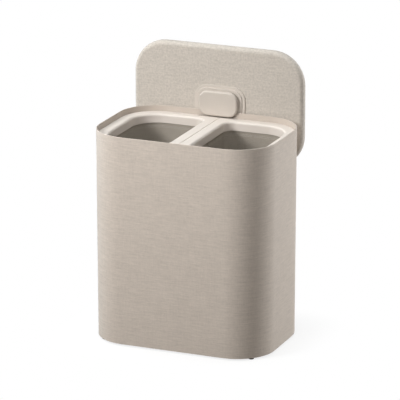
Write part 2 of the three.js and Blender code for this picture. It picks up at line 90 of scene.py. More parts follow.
class Field:
    """A socket in a node tree. Arithmetic on it adds Math nodes."""

    def __init__(self, nodes, socket):
        self.nodes = nodes
        self.socket = socket

    def _math(self, operation, first, second):
        return self.nodes.node("ShaderNodeMath", {"operation": operation}, {0: first, 1: second})

    def __add__(self, other):
        return self._math("ADD", self, other)

    __radd__ = __add__

    def __sub__(self, other):
        return self._math("SUBTRACT", self, other)

    def __rsub__(self, other):
        return self._math("SUBTRACT", other, self)

    def __mul__(self, other):
        return self._math("MULTIPLY", self, other)

    __rmul__ = __mul__


class Nodes:
    """A node tree in the making"""

    def __init__(self, tree):
        self.tree = tree

    def feed(self, socket, value):
        if isinstance(value, Field):
            self.tree.links.new(value.socket, socket)
        else:
            socket.default_value = value

    def node(self, kind, settings=None, inputs=None, output=0):
        """Adds a node: its settings first, then the values or links of its inputs"""
        made = self.tree.nodes.new(kind)
        for name, value in (settings or {}).items():
            setattr(made, name, value)
        for name, value in (inputs or {}).items():
            self.feed(made.inputs[name], value)
        return Field(self, made.outputs[output])

    def seen(self):
        """1 where the camera, or a reflection, looks at a surface, and 0 where it is only lit by it"""
        paths = [self.node("ShaderNodeLightPath", output=f"Is {kind} Ray")
                 for kind in ("Camera", "Glossy", "Transmission")]
        return paths[0] + paths[1] + paths[2]


class Finish(Nodes):
    """A material in the making"""

    def __init__(self, name):
        self.material = bpy.data.materials.new(name)
        self.material.use_nodes = True
        super().__init__(self.material.node_tree)
        self.shader = self.tree.nodes["Principled BSDF"]
        self.place = self.node("ShaderNodeTexCoord", output="Object")

    def scaled(self, scale, place=None):
        return self.node("ShaderNodeMapping", {}, {"Vector": place or self.place, "Scale": scale})

    def noise(self, scale, detail, place=None):
        inputs = {"Vector": self.scaled(scale, place), "Scale": 1.0, "Detail": detail}
        return self.node("ShaderNodeTexNoise", {"normalize": True}, inputs)

    def mix(self, factor, first, second):
        settings = {"data_type": "RGBA", "clamp_factor": True}
        return self.node("ShaderNodeMix", settings, {0: factor, 6: first, 7: second}, 2)

    def bump(self, height, distance, strength):
        inputs = {"Height": height, "Distance": distance, "Strength": strength}
        return self.node("ShaderNodeBump", {}, inputs)

    def done(self, colour, roughness, normal, **others):
        """Feeds the shader and gives back the material"""
        values = {"Base Color": colour, "Roughness": roughness, "Normal": normal}
        for name, value in others.items():
            values[name.replace("_", " ").title().replace("Ior", "IOR")] = value
        for name, value in values.items():
            self.feed(self.shader.inputs[name], value)
        return self.material


def tinted(colour, share):
    """A colour made lighter or darker by a share, for the two ends of a finish"""
    base = linear(colour)
    return [channel * (1 + share) for channel in base[:3]] + [1.0]


NOISE_MIDDLE = 0.5


def swing(field, gain):
    """How far a noise lies from its middle, made larger or smaller"""
    return (field - NOISE_MIDDLE) * gain


# Noise scales are counts per metre, in x, y and z, or in u and v on a piece's own map, and the number
# after them is the noise's detail. Relief is the height of a finish's bumps in metres, and its strength
LINEN_WEFT = ((46, 46, 1000), 2)
LINEN_WARP = ((1000, 1000, 46), 2)
LINEN_SLUB = ((22, 22, 330), 3)
LINEN_SLUB_WARP = ((330, 330, 22), 3)
LINEN_FLECK = ((180, 180, 180), 2)
LINEN_MOTTLE = ((22, 22, 22), 3)
LINEN_SPREAD = 0.15
LINEN_ROUGHNESS = 0.74
LINEN_RELIEF = (0.0006, 0.7)
INNER_FACE_SPREAD = 0.04
INNER_FACE_STRENGTH = 0.1
INNER_FACE_BOUND = -0.01


def linen(name, colour, slub_gain, fleck_gain, inside=None):
    """Moulded linen: fine crossed threads, longer slubs in both directions, and a soft mottle.
    Where a shell has an inside colour, its inner face is smooth and takes that colour, a darker one that
    paints in shade"""
    finish = Finish(name)
    weft = finish.noise(*LINEN_WEFT)
    warp = finish.noise(*LINEN_WARP)
    slub = finish.noise(*LINEN_SLUB)
    slub_warp = finish.noise(*LINEN_SLUB_WARP)
    fleck = finish.noise(*LINEN_FLECK)
    mottle = finish.noise(*LINEN_MOTTLE)
    threads = swing(weft, 0.9) + swing(warp, 0.5)
    slubs = swing(slub, slub_gain) + swing(slub_warp, slub_gain * 0.35)
    shade = threads + slubs + swing(fleck, fleck_gain) + swing(mottle, 0.25) + NOISE_MIDDLE
    skin = finish.mix(shade, tinted(colour, -LINEN_SPREAD), tinted(colour, LINEN_SPREAD))
    relief = (weft + warp) * 0.5 + slub * 0.5
    height, strength = LINEN_RELIEF
    if inside:
        # The inner face is where the surface looks towards the upright axis through the middle
        facing = finish.node("ShaderNodeTexCoord", output="Normal")
        from_axis = finish.scaled((1, 1, 0))
        both = {0: facing, 1: from_axis}
        away = finish.node("ShaderNodeVectorMath", {"operation": "DOT_PRODUCT"}, both, "Value")
        inner = finish.node("ShaderNodeMath", {"operation": "LESS_THAN"}, {0: away, 1: INNER_FACE_BOUND})
        # The inner face takes the darker inside colour, a painted shade
        wall = finish.mix(mottle, tinted(inside, -INNER_FACE_SPREAD), tinted(inside, INNER_FACE_SPREAD))
        skin = finish.mix(inner, skin, wall)
        strength = strength - inner * (strength - INNER_FACE_STRENGTH)
    gloss = swing(weft, 0.3) + LINEN_ROUGHNESS
    normal = finish.bump(relief, height, strength)
    return finish.done(skin, gloss, normal, specular_ior_level=0.4, sheen_weight=0.2, sheen_roughness=0.35)


MOULDED_DRIFT = ((9, 9, 9), 2)
MOULDED_SPECK = ((1400, 1400, 1400), 1)
MOULDED_STREAKS = ((60, 25, 90), 4)
MOULDED_SPREAD = 0.045
MOULDED_RELIEF = (0.00016, 0.5)


def moulded(name, colour, roughness):
    """Smooth satin plastic: a fine spark grain, slow colour drift and faint rubbed streaks"""
    finish = Finish(name)
    drift = finish.noise(*MOULDED_DRIFT)
    speck = finish.noise(*MOULDED_SPECK)
    rubbed = finish.noise(*MOULDED_STREAKS)
    shade = swing(drift, 1.1) + swing(speck, 0.5) + swing(rubbed, 0.4) + NOISE_MIDDLE
    skin = finish.mix(shade, tinted(colour, -MOULDED_SPREAD), tinted(colour, MOULDED_SPREAD))
    gloss = swing(rubbed, 0.22) + swing(drift, 0.1) + roughness
    return finish.done(skin, gloss, finish.bump(speck, *MOULDED_RELIEF), specular_ior_level=0.45)


WOVEN_WEFT = ((40, 700, 1), 3)
WOVEN_WARP = ((700, 40, 1), 3)
WOVEN_MOTTLE = ((14, 14, 1), 3)
WOVEN_DARKER, WOVEN_LIGHTER = -0.2, 0.16
WOVEN_ROUGHNESS = 0.85
WOVEN_RELIEF = (0.0005, 0.8)


def woven(name, colour, pitch, contrast):
    """Plain woven cloth on the piece's own UV map, in metres: threads over and under each other"""
    finish = Finish(name)
    place = finish.node("ShaderNodeTexCoord", output="UV")
    across = finish.node("ShaderNodeSeparateXYZ", {}, {0: place}, "X")
    along = finish.node("ShaderNodeSeparateXYZ", {}, {0: place}, "Y")
    turns = 2 * math.pi / pitch

    def sine(value):
        return finish.node("ShaderNodeMath", {"operation": "SINE"}, {0: value})

    weave = sine(across * turns) * sine(along * turns)
    weft = finish.noise(*WOVEN_WEFT, place)
    warp = finish.noise(*WOVEN_WARP, place)
    mottle = finish.noise(*WOVEN_MOTTLE, place)
    shade = weave * contrast + swing(weft, 0.8) + swing(warp, 0.6) + swing(mottle, 0.5) + NOISE_MIDDLE
    skin = finish.mix(shade, tinted(colour, WOVEN_DARKER), tinted(colour, WOVEN_LIGHTER))
    relief = weave * 0.5 + weft * 0.5 + warp * 0.5
    gloss = swing(weft, 0.3) + WOVEN_ROUGHNESS
    return finish.done(skin, gloss, finish.bump(relief, *WOVEN_RELIEF), specular_ior_level=0.2)


DRIFT_SHARE = 1 / 12
GRAIN_STRENGTH = 0.8


def grained(name, colour, roughness, scale, depth, spread):
    """A speckled or pebbled finish for rubber, felt, board and thread"""
    finish = Finish(name)
    pebble = finish.noise([scale] * 3, 3)
    drift = finish.noise([scale * DRIFT_SHARE] * 3, 2)
    shade = swing(pebble, 1.6) + swing(drift, 0.8) + NOISE_MIDDLE
    skin = finish.mix(shade, tinted(colour, -spread), tinted(colour, spread))
    gloss = swing(pebble, 0.3) + roughness
    return finish.done(skin, gloss, finish.bump(pebble, depth, GRAIN_STRENGTH), specular_ior_level=0.3)


STEEL_BRUSHED = ((60, 900, 900), 2)
STEEL_TARNISH = ((300, 300, 300), 3)
STEEL_DARKER, STEEL_LIGHTER = -0.25, 0.1
STEEL_ROUGHNESS = 0.36
STEEL_RELIEF = (0.00002, 0.5)


def steel(name, colour):
    """Plated screws: brushed, with a little tarnish"""
    finish = Finish(name)
    brushed = finish.noise(*STEEL_BRUSHED)
    tarnish = finish.noise(*STEEL_TARNISH)
    skin = finish.mix(tarnish, tinted(colour, STEEL_DARKER), tinted(colour, STEEL_LIGHTER))
    gloss = swing(brushed, 0.3) + swing(tarnish, 0.2) + STEEL_ROUGHNESS
    return finish.done(skin, gloss, finish.bump(brushed, *STEEL_RELIEF), metallic=1.0)


# One finish for each material slot, and three for pieces that differ from their slot
FINISHES = {
    "linen_finish": linen("linen", LINEN, slub_gain=1.1, fleck_gain=0.6, inside=WALL_INSIDE_PAINTED_SHADE),
    "cream_plastic": moulded("cream_plastic", CREAM, roughness=0.56),
    "knob_plastic": moulded("knob_plastic", KNOB, roughness=0.6),
    "inner_plastic": moulded("inner_plastic", INNER, roughness=0.55),
    "rubber": grained("rubber", RUBBER, roughness=0.8, scale=900, depth=0.0001, spread=0.35),
    "bag_fabric": woven("bag_fabric", BAG, pitch=0.0011, contrast=0.5),
    "board_plastic": grained("board", BOARD, roughness=0.7, scale=700, depth=0.00015, spread=0.16),
    "webbing": woven("webbing", WEBBING, pitch=0.0018, contrast=0.8),
    "carbon_felt": grained("carbon_felt", FELT, roughness=0.95, scale=500, depth=0.0006, spread=0.5),
    "screw_steel": steel("screw_steel", STEEL),
}
OWN_FINISHES = {
    "lid_shell": linen("lid_linen", LID_LINEN, slub_gain=0.9, fleck_gain=1.7),
    # The knob base's finish is the knob's plastic made lighter, a painted highlight for its upturned faces
    "knob_base": moulded("knob_base_painted_light", KNOB_BASE_PAINTED_LIGHT, roughness=0.55),
}
THREAD_FINISH = grained("sewing_thread", THREAD, roughness=0.85, scale=2500, depth=0.0001, spread=0.15)


def new_object(name, mesh):
    made = bpy.data.objects.new(name, mesh)
    bpy.context.scene.collection.objects.link(made)
    return made


def mesh_of(name, points, faces):
    mesh = bpy.data.meshes.new(name)
    mesh.from_pydata(points.tolist(), [], faces)
    mesh.validate()
    return mesh


# Edges sharper than these angles stay sharp, and points that agree in so many digits of a metre are one
CAD_SHARP_DEGREES = 35
WEBBING_SHARP_DEGREES = 50
MERGE_DIGITS = 6


def shaded(mesh, degrees):
    """Smooth shading, but for edges sharper than an angle"""
    mesh.shade_smooth()
    mesh.set_sharp_from_angle(angle=math.radians(degrees))


def settled(piece, body, slot, finish, *nodes):
    """Gives a piece its finish and its body, and hides the nodes that it stands for"""
    piece.data.materials.clear()
    piece.data.materials.append(finish)
    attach(piece, body)
    if nodes:
        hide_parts(*nodes)


def smoothed(node):
    """A copy of a CAD node with its loose triangles merged, and its round stretches shaded round"""
    source = frame["nodes"][node].data
    points = np.zeros(len(source.vertices) * 3)
    source.vertices.foreach_get("co", points)
    corners = np.zeros(len(source.loops), int)
    source.loops.foreach_get("vertex_index", corners)
    rounded = np.round(points.reshape(-1, 3), MERGE_DIGITS)
    merged, index = np.unique(rounded, axis=0, return_inverse=True)
    faces = index.reshape(-1)[corners].reshape(-1, 3)
    whole = [face for face in faces.tolist() if len(set(face)) == 3]
    mesh = mesh_of(f"{node}_skin", merged, whole)
    shaded(mesh, CAD_SHARP_DEGREES)
    piece = new_object(f"{node}_skin", mesh)
    weighted = piece.modifiers.new("weighted", "WEIGHTED_NORMAL")
    weighted.keep_sharp = True
    slot = SLOT_OF[node]
    settled(piece, BODY_OF[node], slot, OWN_FINISHES.get(node, FINISHES[slot]), node)


def place_camera():
    level = math.cos(ELEVATION)
    back = Vector((math.sin(AZIMUTH) * level, -math.cos(AZIMUTH) * level, math.sin(ELEVATION)))
    lens = bpy.data.cameras.new("camera")
    lens.sensor_width = SENSOR_WIDTH
    lens.lens = FOCAL_PIXELS * SENSOR_WIDTH / FRAME_PIXELS
    lens.clip_end = 100
    camera = new_object("camera", lens)
    camera.rotation_mode = "QUATERNION"
    camera.rotation_quaternion = (-back).to_track_quat("-Z", "Y")
    camera.location = AIM + back * CAMERA_DISTANCE
    bpy.context.scene.camera = camera


# Lights: where each stands round the object, counted from the front towards the right
SOFTBOXES = [
    # name, azimuth, elevation, distance, width, height, power in watts, tint
    ("key", -37, 32, 2.9, 0.8, 0.8, 66, (1, 1, 1)),
    ("fill", 28, 46, 2.6, 1.0, 1.0, 18, (1, 1, 1)),
    ("side", 125, 1, 2.2, 1.0, 0.7, 22, (1, 1, 1)),
    ("rear", 140, 3, 2.2, 1.0, 0.8, 9, (1, 1, 1)),
    ("left", -102, 8, 2.4, 1.0, 1.2, 22, (0.8, 0.92, 1)),
    ("top", -80, 76, 3.4, 1.6, 2.2, 31, (0.92, 0.97, 1)),
    ("back top", 150, 72, 3.4, 2.2, 1.6, 27, (0.85, 0.94, 1)),
]
SOFTBOX_AIM = Vector((0, 0, 0.35))
AMBIENT = 0.1
AMBIENT_TINT = (1.0, 0.92, 0.84, 1)

# Floor: its shadow is full on the footprint's core and fades out with the distance from it
FLOOR_HALF = 8
FLOOR_CORE = (0.23, 0.16, 1.0)
FLOOR_SHADOW = 0.2
FLOOR_FADE = 0.17
FLOOR_BOUNCE = (0.15, 0.14, 0.127, 1)
FLOOR_MATT = (0.95, 0.95, 0.95, 1)
FLOOR_GLOW = (1, 1, 1, 1)


def place_lights():
    """The softboxes, and a world that is white to the camera but lights the object only faintly"""
    for name, azimuth, elevation, distance, width, height, power, tint in SOFTBOXES:
        turn, lift = math.radians(azimuth), math.radians(elevation)
        level = math.cos(lift)
        way = Vector((math.sin(turn) * level, -math.cos(turn) * level, math.sin(lift)))
        lamp = bpy.data.lights.new(name, "AREA")
        lamp.shape = "RECTANGLE"
        lamp.size, lamp.size_y, lamp.energy = width, height, power
        lamp.color = tint
        box = new_object(name, lamp)
        box.rotation_mode = "QUATERNION"
        box.rotation_quaternion = way.to_track_quat("Z", "Y")
        box.location = SOFTBOX_AIM + way * distance

    world = bpy.data.worlds.new("studio")
    world.use_nodes = True
    bpy.context.scene.world = world
    nodes = Nodes(world.node_tree)
    dim = nodes.node("ShaderNodeBackground", {}, {"Color": AMBIENT_TINT, "Strength": AMBIENT})
    white = nodes.node("ShaderNodeBackground", {}, {"Color": (1, 1, 1, 1), "Strength": 1})
    both = nodes.node("ShaderNodeMixShader", {}, {0: nodes.seen(), 1: dim, 2: white})
    nodes.feed(world.node_tree.nodes["World Output"].inputs["Surface"], both)


def place_floor():
    """A pale floor: white where the camera sees it unshaded, darker as the object sees it"""
    half = FLOOR_HALF
    corners = np.array([(-half, -half, 0), (half, -half, 0), (half, half, 0), (-half, half, 0)], float)
    floor = new_object("floor", mesh_of("floor", corners, [(0, 1, 2, 3)]))
    finish = Finish("floor")
    apart = finish.node("ShaderNodeVectorMath", {"operation": "ABSOLUTE"}, {0: finish.place})
    apart = finish.node("ShaderNodeVectorMath", {"operation": "SUBTRACT"}, {0: apart, 1: FLOOR_CORE})
    apart = finish.node("ShaderNodeVectorMath", {"operation": "MAXIMUM"}, {0: apart, 1: (0, 0, 0)})
    away = finish.node("ShaderNodeVectorMath", {"operation": "LENGTH"}, {0: apart}, "Value")
    fade = {"Value": away, "From Max": FLOOR_FADE, "To Min": 1.0, "To Max": 0.0}
    near = finish.node("ShaderNodeMapRange", {"interpolation_type": "SMOOTHERSTEP"}, fade)
    matt = finish.node("ShaderNodeBsdfDiffuse", {}, {"Color": FLOOR_MATT})
    glow = finish.node("ShaderNodeEmission", {}, {"Color": FLOOR_GLOW, "Strength": 1.0})
    looks = finish.node("ShaderNodeMixShader", {}, {0: near * FLOOR_SHADOW, 1: glow, 2: matt})
    bounce = finish.node("ShaderNodeBsdfDiffuse", {}, {"Color": FLOOR_BOUNCE})
    both = finish.node("ShaderNodeMixShader", {}, {0: finish.seen(), 1: bounce, 2: looks})
    finish.feed(finish.tree.nodes["Material Output"].inputs["Surface"], both)
    floor.data.materials.append(finish.material)


def outline(edges, radii, by, corner_steps, steps_x, steps_y):
    """Points round a rounded rectangle, made larger by an offset. Edges are left, right, front and rear,
    and the radii go round from the front right corner"""
    left, right, front, rear = edges[0] - by, edges[1] + by, edges[2] - by, edges[3] + by
    middle_x, middle_y = (left + right) / 2, (front + rear) / 2
    arcs = []
    for corner, (x, y) in enumerate([(right, front), (right, rear), (left, rear), (left, front)]):
        radius = radii[corner] + by
        centre_x = x - math.copysign(radius, x - middle_x)
        centre_y = y - math.copysign(radius, y - middle_y)
        angles = math.pi / 2 * (corner - 1 + np.linspace(0, 1, corner_steps + 1))
        arcs.append(np.stack([centre_x + radius * np.cos(angles), centre_y + radius * np.sin(angles)], 1))
    points = []
    for corner, arc in enumerate(arcs):
        steps = steps_y if corner % 2 == 0 else steps_x
        shares = np.linspace(0, 1, steps + 1)[1:-1, None]
        after = arcs[(corner + 1) % 4][0]
        points += [arc, arc[-1] + (after - arc[-1]) * shares]
    return np.concatenate(points)


# Bags. The cloth's middle runs half its thickness inside the solid's outer face. The near corners are
# those beside the other bin
CLOTH = 0.0012
BIN_SEEDS = {"left": 3.7, "right": 11.2}
BAG_NEAR_RADIUS = 0.0337
BAG_FAR_RADIUS = 0.0783
BAG_TAPER = 0.005
BAG_STRAIGHT = 0.15
BAG_FILLET = 0.006
FILLET_TURNS = (30, 60, 90)
CORNER_STEPS = 14
STEPS_X = 13
STEPS_Y = 24
WALL_ROWS = 62
FLOOR_RINGS = 7

# Slack: how much larger the cloth is than its room, and how far it may leave its solid, in metres.
# Beside the straps, in a band under the hem, it hardly moves outwards
SLACK = 0.010
INWARD_LIMIT = 0.007
OUTWARD_LIMIT = 0.004
LEVEL_LIMIT = 0.003
STRAP_BAND = 0.13
STRAP_BAND_FADE = 0.05
STRAP_BAND_OUTWARD = 0.0001
CLOTH_FRAMES = 24
HELD_HEM_ROWS = 4
HELD_FOOT_ROWS = 2
CLOTH_SETTINGS = {
    "quality": 6,
    "mass": 0.25,
    "tension_stiffness": 20,
    "compression_stiffness": 20,
    "shear_stiffness": 6,
    "bending_stiffness": 1.2,
    "shrink_min": -SLACK,
    "shrink_max": -SLACK,
    "vertex_group_mass": "held",
}

# The first ripples, a broad set and a fine one: their scale on the level and upwards, their height in
# metres, and the axis that the seed shifts
RIPPLES = [
    (14, 7, 0.0030, "x"),
    (38, 16, 0.0012, "y"),
]


def bag_edges(name):
    """The bag's edges and corner radii, seen from above, and its lowest and highest level"""
    low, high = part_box(f"{name}_bag")
    radii = [BAG_FAR_RADIUS, BAG_FAR_RADIUS, BAG_NEAR_RADIUS, BAG_NEAR_RADIUS]
    if name == "left":
        radii = radii[2:] + radii[:2]
    return (low.x, high.x, low.y, high.y), radii, low.z, high.z


def bag_ring(name, by, z):
    edges, radii, *_ = bag_edges(name)
    flat = outline(edges, radii, by, CORNER_STEPS, STEPS_X, STEPS_Y)
    return np.column_stack([flat, np.full(len(flat), z)])


def wall_rest(name):
    """The bag's wall before it slackens: rows of points from the hem down to the fillet"""
    *_, bottom, top = bag_edges(name)
    foot = bottom + BAG_FILLET
    rows = []
    for z in np.linspace(top, foot, WALL_ROWS):
        below = max(0.0, top - BAG_STRAIGHT - z) / (top - BAG_STRAIGHT - bottom)
        rows.append(bag_ring(name, -CLOTH / 2 - BAG_TAPER * below, z))
    return np.array(rows)


def outward(rows):
    """Level unit vectors out of the wall"""
    ahead, behind = np.roll(rows, -1, axis=1), np.roll(rows, 1, axis=1)
    along = ahead - behind
    normals = np.stack([along[..., 1], -along[..., 0], np.zeros(along.shape[:2])], -1)
    return normals / np.linalg.norm(normals, axis=-1, keepdims=True)


def start_ripples(rows, seed):
    """A small uneven push, so that the slack has somewhere to go"""
    push = np.zeros(rows.shape[:2])
    for j, i in np.ndindex(push.shape):
        x, y, z = rows[j, i]
        for level, upright, height, axis in RIPPLES:
            shift_x, shift_y = (seed, 0) if axis == "x" else (0, seed)
            spot = Vector((x * level + shift_x, y * level + shift_y, z * upright))
            push[j, i] += height * noise.noise(spot)
    return push


def grid_faces(rows, count):
    """Quads between closed rings of points. The rings run down, so this order faces out"""
    faces = []
    for j in range(rows - 1):
        for i in range(count):
            k = (i + 1) % count
            faces.append((j * count + i, (j + 1) * count + i, (j + 1) * count + k, j * count + k))
    return faces


def slackened(walls):
    """Runs Blender's cloth on the walls, held at hem and foot, with a little more cloth than room"""
    sheets = []
    for name, rows in walls.items():
        levels, count = rows.shape[:2]
        mesh = mesh_of(f"{name}_slack", rows.reshape(-1, 3), grid_faces(levels, count))
        sheet = new_object(f"{name}_slack", mesh)
        held = sheet.vertex_groups.new(name="held")
        hem = list(range(HELD_HEM_ROWS * count))
        foot = list(range((levels - HELD_FOOT_ROWS) * count, levels * count))
        held.add(hem + foot, 1.0, "REPLACE")
        cloth = sheet.modifiers.new("cloth", "CLOTH")
        for setting, value in CLOTH_SETTINGS.items():
            setattr(cloth.settings, setting, value)
        cloth.collision_settings.use_collision = False
        sheets.append(sheet)
    scene = bpy.context.scene
    for step in range(CLOTH_FRAMES):
        scene.frame_set(step + 1)
    depsgraph = bpy.context.evaluated_depsgraph_get()
    found = {}
    for (name, rows), sheet in zip(walls.items(), sheets):
        moved = np.zeros(rows.size)
        sheet.evaluated_get(depsgraph).data.vertices.foreach_get("co", moved)
        found[name] = moved.reshape(rows.shape)
    for sheet in sheets:
        bpy.data.objects.remove(sheet)
    scene.frame_set(1)
    return found


def held_in(rest, moved):
    """Keeps the slack cloth near its solid: a soft limit inwards, a tighter one outwards"""
    normals = outward(rest)
    shift = moved - rest
    out = (shift * normals).sum(-1)
    depth = rest[0, 0, 2] - rest[..., 2]
    free = np.clip((depth - STRAP_BAND) / STRAP_BAND_FADE, 0, 1)
    outer = STRAP_BAND_OUTWARD + OUTWARD_LIMIT * free
    limited = np.where(out > 0, outer * np.tanh(out / outer), INWARD_LIMIT * np.tanh(out / INWARD_LIMIT))
    level = np.clip(shift - out[..., None] * normals, -LEVEL_LIMIT, LEVEL_LIMIT)
    return rest + level + limited[..., None] * normals


def with_uv(mesh, places):
    """Gives a cloth surface a UV map in metres, so that its weave follows it"""
    layer = mesh.uv_layers.new(name="cloth")
    layer.data.foreach_set("uv", np.array(places, np.float32).ravel())


def cloth_walls():
    """Both bags' walls, slack between hem and foot"""
    rests, slack = {}, {}
    for name, seed in BIN_SEEDS.items():
        rest = wall_rest(name)
        rests[name] = rest
        slack[name] = rest + outward(rest) * start_ripples(rest, seed)[..., None]
    slack = slackened(slack)
    return {name: held_in(rest, slack[name]) for name, rest in rests.items()}


def bag_piece(name, wall):
    """The whole bag: wall, fillet and floor as one sheet, then given its thickness"""
    *_, bottom, _ = bag_edges(name)
    rows = list(wall)
    foot_by = -CLOTH / 2 - BAG_TAPER
    radius = BAG_FILLET - CLOTH / 2
    for angle in FILLET_TURNS:
        turn = math.radians(angle)
        by = foot_by - radius * (1 - math.cos(turn))
        rows.append(bag_ring(name, by, bottom + CLOTH / 2 + radius * (1 - math.sin(turn))))
    rim = rows[-1]
    floor_from = len(rows) - 1
    centre = rim.mean(axis=0)
    for share in np.linspace(0, 1, FLOOR_RINGS + 1)[1:-1]:
        rows.append(rim + (centre - rim) * share)
    rows = np.array(rows)
    levels, count = rows.shape[:2]
    points = np.concatenate([rows.reshape(-1, 3), [centre]])
    quads = grid_faces(levels, count)
    last = (levels - 1) * count
    fan = [(last + i, levels * count, last + (i + 1) % count) for i in range(count)]
    mesh = mesh_of(f"{name}_bag_cloth", points, quads + fan)

    around = lengths_round(wall[0])
    drop = np.concatenate([[0], np.cumsum(np.linalg.norm(np.diff(rows[:, 0], axis=0), axis=1))])
    places = []
    for j in range(floor_from):
        for i in range(count):
            places += [(around[i], drop[j]), (around[i], drop[j + 1]),
                       (around[i + 1], drop[j + 1]), (around[i + 1], drop[j])]
    for face in quads[floor_from * count:] + fan:
        places += [tuple(points[corner][:2]) for corner in face]
    with_uv(mesh, places)
    mesh.shade_smooth()

    piece = new_object(f"{name}_bag_cloth", mesh)
    smooth = piece.modifiers.new("smooth", "SUBSURF")
    smooth.levels = smooth.render_levels = 1
    thick = piece.modifiers.new("thick", "SOLIDIFY")
    thick.thickness = CLOTH
    thick.offset = 0
    settled(piece, f"{name}_bin", "bag_fabric", FINISHES["bag_fabric"], f"{name}_bag")


# Straps: a webbing loop on the front and rear of each bag, flat where it is sewn and standing off below
STRAP_LEG = 0.045
STRAP_WIDTH = 0.020
STRAP_THICKNESS = 0.0016
STRAP_STAND_OFF = 0.004
STRAP_STEPS = 72
STRAP_SECTION_STEPS = 28
STRAP_TILT = 0.12
STRAP_SIDE_POWER = 0.3
STRAP_FACE_POWER = 0.5
SEWN_LENGTH = 0.017
SEWN_MARGIN = 0.0028


def eased(share):
    """A share from 0 to 1 that starts and ends gently"""
    return share * share * (3 - 2 * share)


def strap_route(name, place):
    """Stations down one leg, round the loop and up the other: run so far, centre, across and outwards"""
    low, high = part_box(f"{name}_strap_{place}")
    facing = -1 if place == "front" else 1
    against_bag = high.y if place == "front" else low.y
    middle = (low.x + high.x) / 2
    bend = (high.x - low.x - STRAP_WIDTH) / 2
    length = 2 * STRAP_LEG + math.pi * bend
    stations = []
    for run in np.linspace(0, length, STRAP_STEPS + 1):
        turned = min(max((run - STRAP_LEG) / bend, 0), math.pi)
        down = min(run, STRAP_LEG) - max(run - STRAP_LEG - math.pi * bend, 0)
        x = middle - bend * math.cos(turned)
        z = high.z - down - bend * math.sin(turned)
        sunk = min(max((high.z - z - SEWN_LENGTH) / (high.z - low.z - SEWN_LENGTH), 0), 1)
        stand = STRAP_STAND_OFF * eased(sunk)
        y = against_bag + facing * (STRAP_THICKNESS / 2 + stand)
        direction = np.array([math.sin(turned), 0, -math.cos(turned)])
        outwards = np.array([0, facing, STRAP_TILT * sunk])
        outwards /= np.linalg.norm(outwards)
        across = np.cross(direction, outwards)
        stations.append((run, np.array([x, y, z]), across, outwards))
    return stations


def flattened(wave, power):
    """A sine or cosine drawn towards its ends, for a section with flat faces"""
    return np.sign(wave) * np.abs(wave) ** power


def strap_piece(name, place):
    """One strap: a flat section with round edges, carried along its route"""
    stations = strap_route(name, place)
    angles = np.linspace(0, 2 * math.pi, STRAP_SECTION_STEPS, endpoint=False)
    wide = STRAP_WIDTH / 2 * flattened(np.cos(angles), STRAP_SIDE_POWER)
    high = STRAP_THICKNESS / 2 * flattened(np.sin(angles), STRAP_FACE_POWER)
    rows = [centre + wide[:, None] * across + high[:, None] * outwards
            for _, centre, across, outwards in stations]
    levels, count = len(rows), len(angles)
    points = np.concatenate(rows)
    faces = grid_faces(levels, count)
    first, last = list(range(count)), list(range((levels - 1) * count, levels * count))
    mesh = mesh_of(f"{name}_{place}_webbing", points, faces + [first, last[::-1]])
    runs = [station[0] for station in stations]
    places = []
    for j in range(levels - 1):
        for i in range(count):
            k = (i + 1) % count
            places += [(runs[j], wide[i]), (runs[j + 1], wide[i]),
                       (runs[j + 1], wide[k]), (runs[j], wide[k])]
    places += [(0, wide[i]) for i in first] + [(runs[-1], wide[i]) for i in first[::-1]]
    with_uv(mesh, places)
    outward_faces(mesh)
    shaded(mesh, WEBBING_SHARP_DEGREES)
    piece = new_object(f"{name}_{place}_webbing", mesh)
    settled(piece, f"{name}_bin", "webbing", FINISHES["webbing"], f"{name}_strap_{place}")


def outward_faces(mesh):
    """Turns every face of a closed shell outwards"""
    shell = bmesh.new()
    shell.from_mesh(mesh)
    bmesh.ops.recalc_face_normals(shell, faces=shell.faces)
    shell.to_mesh(mesh)
    shell.free()


# Stitches: a Geometry Nodes tree lays one on each step along the sewing lines, each a little uneven
STITCH = {"Step": 0.0032, "Length": 0.0025, "Radius": 0.00035}
STITCH_BEAD = {"Segments": 6, "Rings": 4, "Radius": 1.0}
STITCH_SMALLEST = 0.88
STITCH_LARGEST = 1.1
STITCH_SEED = 5
HEM_DEPTHS = (0.027, 0.031)


